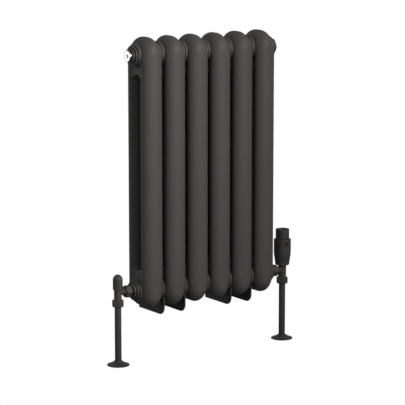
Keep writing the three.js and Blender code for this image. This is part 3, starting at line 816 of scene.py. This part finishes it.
turnedPiece("headEnd", [
    [13.1, 236.35, 0.3], [15.4, 236.35, 0.3], [15.7, 236.8, 0.3], [15.7, 258.6, 0.6], [14.9, 259.45, 0.5],
    [14.3, 259.45, 0.5], [13.6, 254.6, 0.8], [0, 254.6], [0, 253.2], [13.1, 253.2, 0.3],
], (valveX, axisY, 0), "head_plastic", "thermostatic_end_cap", "thermostatic_handle", closed=True)
turnedPiece("headSensor", [
    [0, 189.85], [2.35, 189.85, 0.5], [2.35, 195.05, 0.3], [9.6, 195.05, 0.4], [10.4, 196.2, 0.5],
    [10.4, 205.0, 0.2], [9.9, 205.4, 0.2], [9.9, 206.6, 0.2], [10.4, 207.0, 0.2], [10.4, 240.4, 0.6],
    [9.2, 241.9, 0.5], [0, 241.9],
], (valveX, axisY, 0), "sensor_metal", "thermostatic_sensor", "thermostatic_sensor")
turnedPiece("headFrame", [
    [3.1, 185.45, 0.3], [11.7, 185.45, 0.4], [11.7, 189.7, 0.2], [13.3, 189.7, 0.4], [13.3, 207.9, 0.5],
    [12.1, 207.9, 0.3], [12.1, 191.9, 0.5], [3.1, 191.9, 0.3],
], (valveX, axisY, 0), "inner_plastic", "thermostatic_head_frame", closed=True)
turnedPiece("valvePin", [
    [0, 152.05], [4.7, 152.05, 0.4], [4.7, 155.3, 0.4], [1.55, 156.6, 0.4], [1.55, 186.0, 0.2],
    [1.2, 186.6, 0.2], [1.2, 187.6, 0.2], [1.55, 188.2, 0.2], [1.55, 188.95, 0.4], [0, 188.95],
], (valveX, axisY, 0), "bare_brass", "thermostatic_pin", "thermostatic_pin")
print("thermostatic valve made")

# pipes and floor plates

for hand, name in ((-1, "left"), (1, "right")):
    top = float(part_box(f"pipe_{name}")[1][2]) / mm
    pipeProfile = [[6.55, 0.02, 0.2], [7.45, 0.02, 0.2], [7.45, top - 0.05, 0.3], [6.55, top - 0.05, 0.2]]
    turnedPiece(
        f"fine_pipe_{name}", pipeProfile, (hand * valveX, axisY, 0), "painted_copper",
        f"pipe_{name}", closed=True,
    )
    plateProfile = [
        [23.5, 0.02, 0.2], [24.95, 0.02, 0.3], [24.95, 1.9, 0.8], [15.4, 5.5, 6.0], [10.6, 8.2, 2.0],
        [10.4, 9.45, 0.5], [7.85, 9.45, 0.3], [7.85, 6.4], [9.6, 6.0, 1.0], [14.9, 4.0, 5.0],
        [23.5, 0.8, 0.3],
    ]
    turnedPiece(
        f"fine_plate_{name}", plateProfile, (hand * valveX, axisY, 0), "painted_plates",
        f"floor_plate_{name}", f"floor_plate_{name}", sides=96, closed=True,
    )
print("pipes and plates made")

# wall brackets

bracket = {
    "reach": 27.6, "half": 1.45, "low": 103.55, "back": 167.95, "tip": -107.95, "tipRound": 19.0,
    "bend": 4.2, "seat": 26.05, "hook": 144.95, "edge": 0.5,
    "seatRise": 4,  # height of the shelf behind the seat above the seat's lowest point
    "hookTurn": 0.62,  # radians from straight down to where the seat ends at the front
    "slopeStart": -48, "slopeEnd": -12, "backPlate": -1.5,
}
hubZ = lowHub / mm
hubY = axisY / mm


def bracketTop(y):
    # upper edge of an arm: straight from the hook down to the seat, the circle of the seat under the
    # hub, then a level shelf, a straight slope and a level top by the wall
    seatStart = hubY + math.sqrt(bracket["seat"] ** 2 - (bracket["seat"] - bracket["seatRise"]) ** 2)
    seatEnd = hubY - bracket["seat"] * math.sin(bracket["hookTurn"])
    seatFloor = hubZ - np.sqrt(np.maximum(bracket["seat"] ** 2 - (y - hubY) ** 2, 0))
    stations = [bracket["tip"], seatEnd, seatStart, bracket["slopeStart"], bracket["slopeEnd"], 0]
    hookZ = hubZ - bracket["seat"] * math.cos(bracket["hookTurn"])
    shelf = hubZ - bracket["seat"] + bracket["seatRise"]
    line = np.interp(y, stations, [bracket["hook"], hookZ, shelf, shelf, bracket["back"], bracket["back"]])
    return np.where((y > seatEnd) & (y < seatStart), seatFloor, line)


def bracketLow(y):
    # lower edge: level, then a quarter circle up to the tip
    into = np.clip(bracket["tip"] + bracket["tipRound"] - y, 0, bracket["tipRound"])
    return bracket["low"] + bracket["tipRound"] - np.sqrt(bracket["tipRound"] ** 2 - into ** 2)


def bracketMesh():
    # the plan line runs from one tip round both bends to the other; a rounded strip is carried along it
    plan = roundedLine([
        [-bracket["reach"], bracket["tip"]], [-bracket["reach"], bracket["backPlate"], bracket["bend"]],
        [bracket["reach"], bracket["backPlate"], bracket["bend"]], [bracket["reach"], bracket["tip"]],
    ], False, 10)
    arm = np.concatenate([
        bracket["tip"] + bracket["tipRound"] * (1 - np.cos(np.linspace(0, np.pi / 2, 14))),
        np.linspace(bracket["tip"] + bracket["tipRound"], bracket["backPlate"] - bracket["bend"], 60)[1:-1],
    ])
    left = np.stack([np.full_like(arm, -bracket["reach"]), arm], axis=1)
    right = left[::-1] * [-1, 1]
    line = np.concatenate([left, plan[1:-1], right])
    along = np.gradient(line, axis=0)
    along /= np.linalg.norm(along, axis=1)[:, None]
    out = np.stack([-along[:, 1], along[:, 0]], axis=1)
    low, high = bracketLow(line[:, 1]), bracketTop(line[:, 1])
    edge = bracket["edge"]
    turn = np.linspace(0, np.pi / 2, 4)
    corner = np.stack([bracket["half"] - edge + edge * np.cos(turn), edge * np.sin(turn) - edge], axis=1)
    top = np.concatenate([corner, corner[::-1] * [-1, 1]])
    across = np.concatenate([top[:, 0], top[::-1, 0]])
    tall = np.concatenate([high[:, None] + top[:, 1], low[:, None] - top[::-1, 1]], axis=1)
    flat = line[:, None, :] + out[:, None, :] * across[None, :, None]
    points = np.concatenate([flat, tall[..., None]], axis=-1)
    faces = carriedFaces(len(line), len(across))
    return points.reshape(-1, 3), faces


bracketPoints, bracketFaces = bracketMesh()
for name in ("left", "right"):
    shift = float(middle(f"wall_bracket_{name}")[0])
    addPiece(
        f"fine_bracket_{name}", bracketPoints * mm + [shift, 0, 0], bracketFaces, "painted_steel",
        f"wall_bracket_{name}", "radiator", 30,
    )
    screwPlace = (shift, 0, float(middle(f"bracket_screw_{name}")[2]))
    screwRows = [
        [0, 0.3, 0], [2.9, 0.3, 0], [2.9, 3.32, 0], [6.2, 3.32, 0], [6.45, 3.5, 0], [6.45, 4.2, 0],
        [6.1, 5.0, 0], [5.3, 5.8, 0], [4.4, 6.3, 0], [3.6, 6.44, 0], [3.1, 6.45, 0], [2.95, 6.4, 2.5],
        [2.9, 4.4, 2.5], [0, 4.2, 0],
    ]
    facetedPiece(
        f"fine_screw_{name}", 6, screwRows, screwPlace, "bare_steel", f"bracket_screw_{name}",
        axis="y", side=-1, corner=0.1, closed=False,
    )
print("brackets made")

# upper stays

stay = {
    "inner": 25.95, "outer": 28.95, "half": 3.55, "edge": 0.7,
    "swing": 1.85,  # radians the clip reaches round the hub either way from the wall side
    "endShrink": 0.72,
}


def stayClip():
    # a strip with rounded edges carried round the hub on a circle, open at the front
    swing = np.linspace(-stay["swing"], stay["swing"], 61)
    turn = np.linspace(0, np.pi / 2, 5)
    edge, half, mid = stay["edge"], stay["half"], (stay["inner"] + stay["outer"]) / 2
    deep = (stay["outer"] - stay["inner"]) / 2
    quarter = np.stack([half - edge + edge * np.cos(turn), deep - edge + edge * np.sin(turn)], axis=1)
    section = np.concatenate([quarter, quarter[::-1] * [-1, 1], quarter * [-1, -1], quarter[::-1] * [1, -1]])
    shrink = np.ones((len(swing), 1))
    shrink[[0, -1]] = stay["endShrink"]
    x, reach = shrink * section[:, 0], mid + shrink * section[:, 1]
    angle = swing[:, None]
    points = np.stack([x, reach * np.cos(angle), reach * np.sin(angle)], axis=-1)
    return points.reshape(-1, 3), carriedFaces(len(swing), len(section))


clipPoints, clipFaces = stayClip()
for name in ("left", "right"):
    low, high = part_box(f"upper_stay_{name}")
    x = float(low[0] + high[0]) / 2
    addPiece(
        f"stayClip_{name}", clipPoints * mm + [x, axisY, highHub], clipFaces, "painted_steel",
        f"upper_stay_{name}", "radiator", 40,
    )
    rodProfile = [
        [0, 0.05], [13.9, 0.05, 0.3], [13.9, 3.2, 0.8], [12.6, 3.95, 0.6], [6.0, 4.1, 1.5], [3.95, 7.0, 2.0],
        [3.95, 55.4, 0.3], [0, 55.4],
    ]
    turnedPiece(
        f"stayRod_{name}", rodProfile, (x, 0, highHub), "painted_steel",
        f"upper_stay_{name}", axis="y", side=-1,
    )
print("stays made")
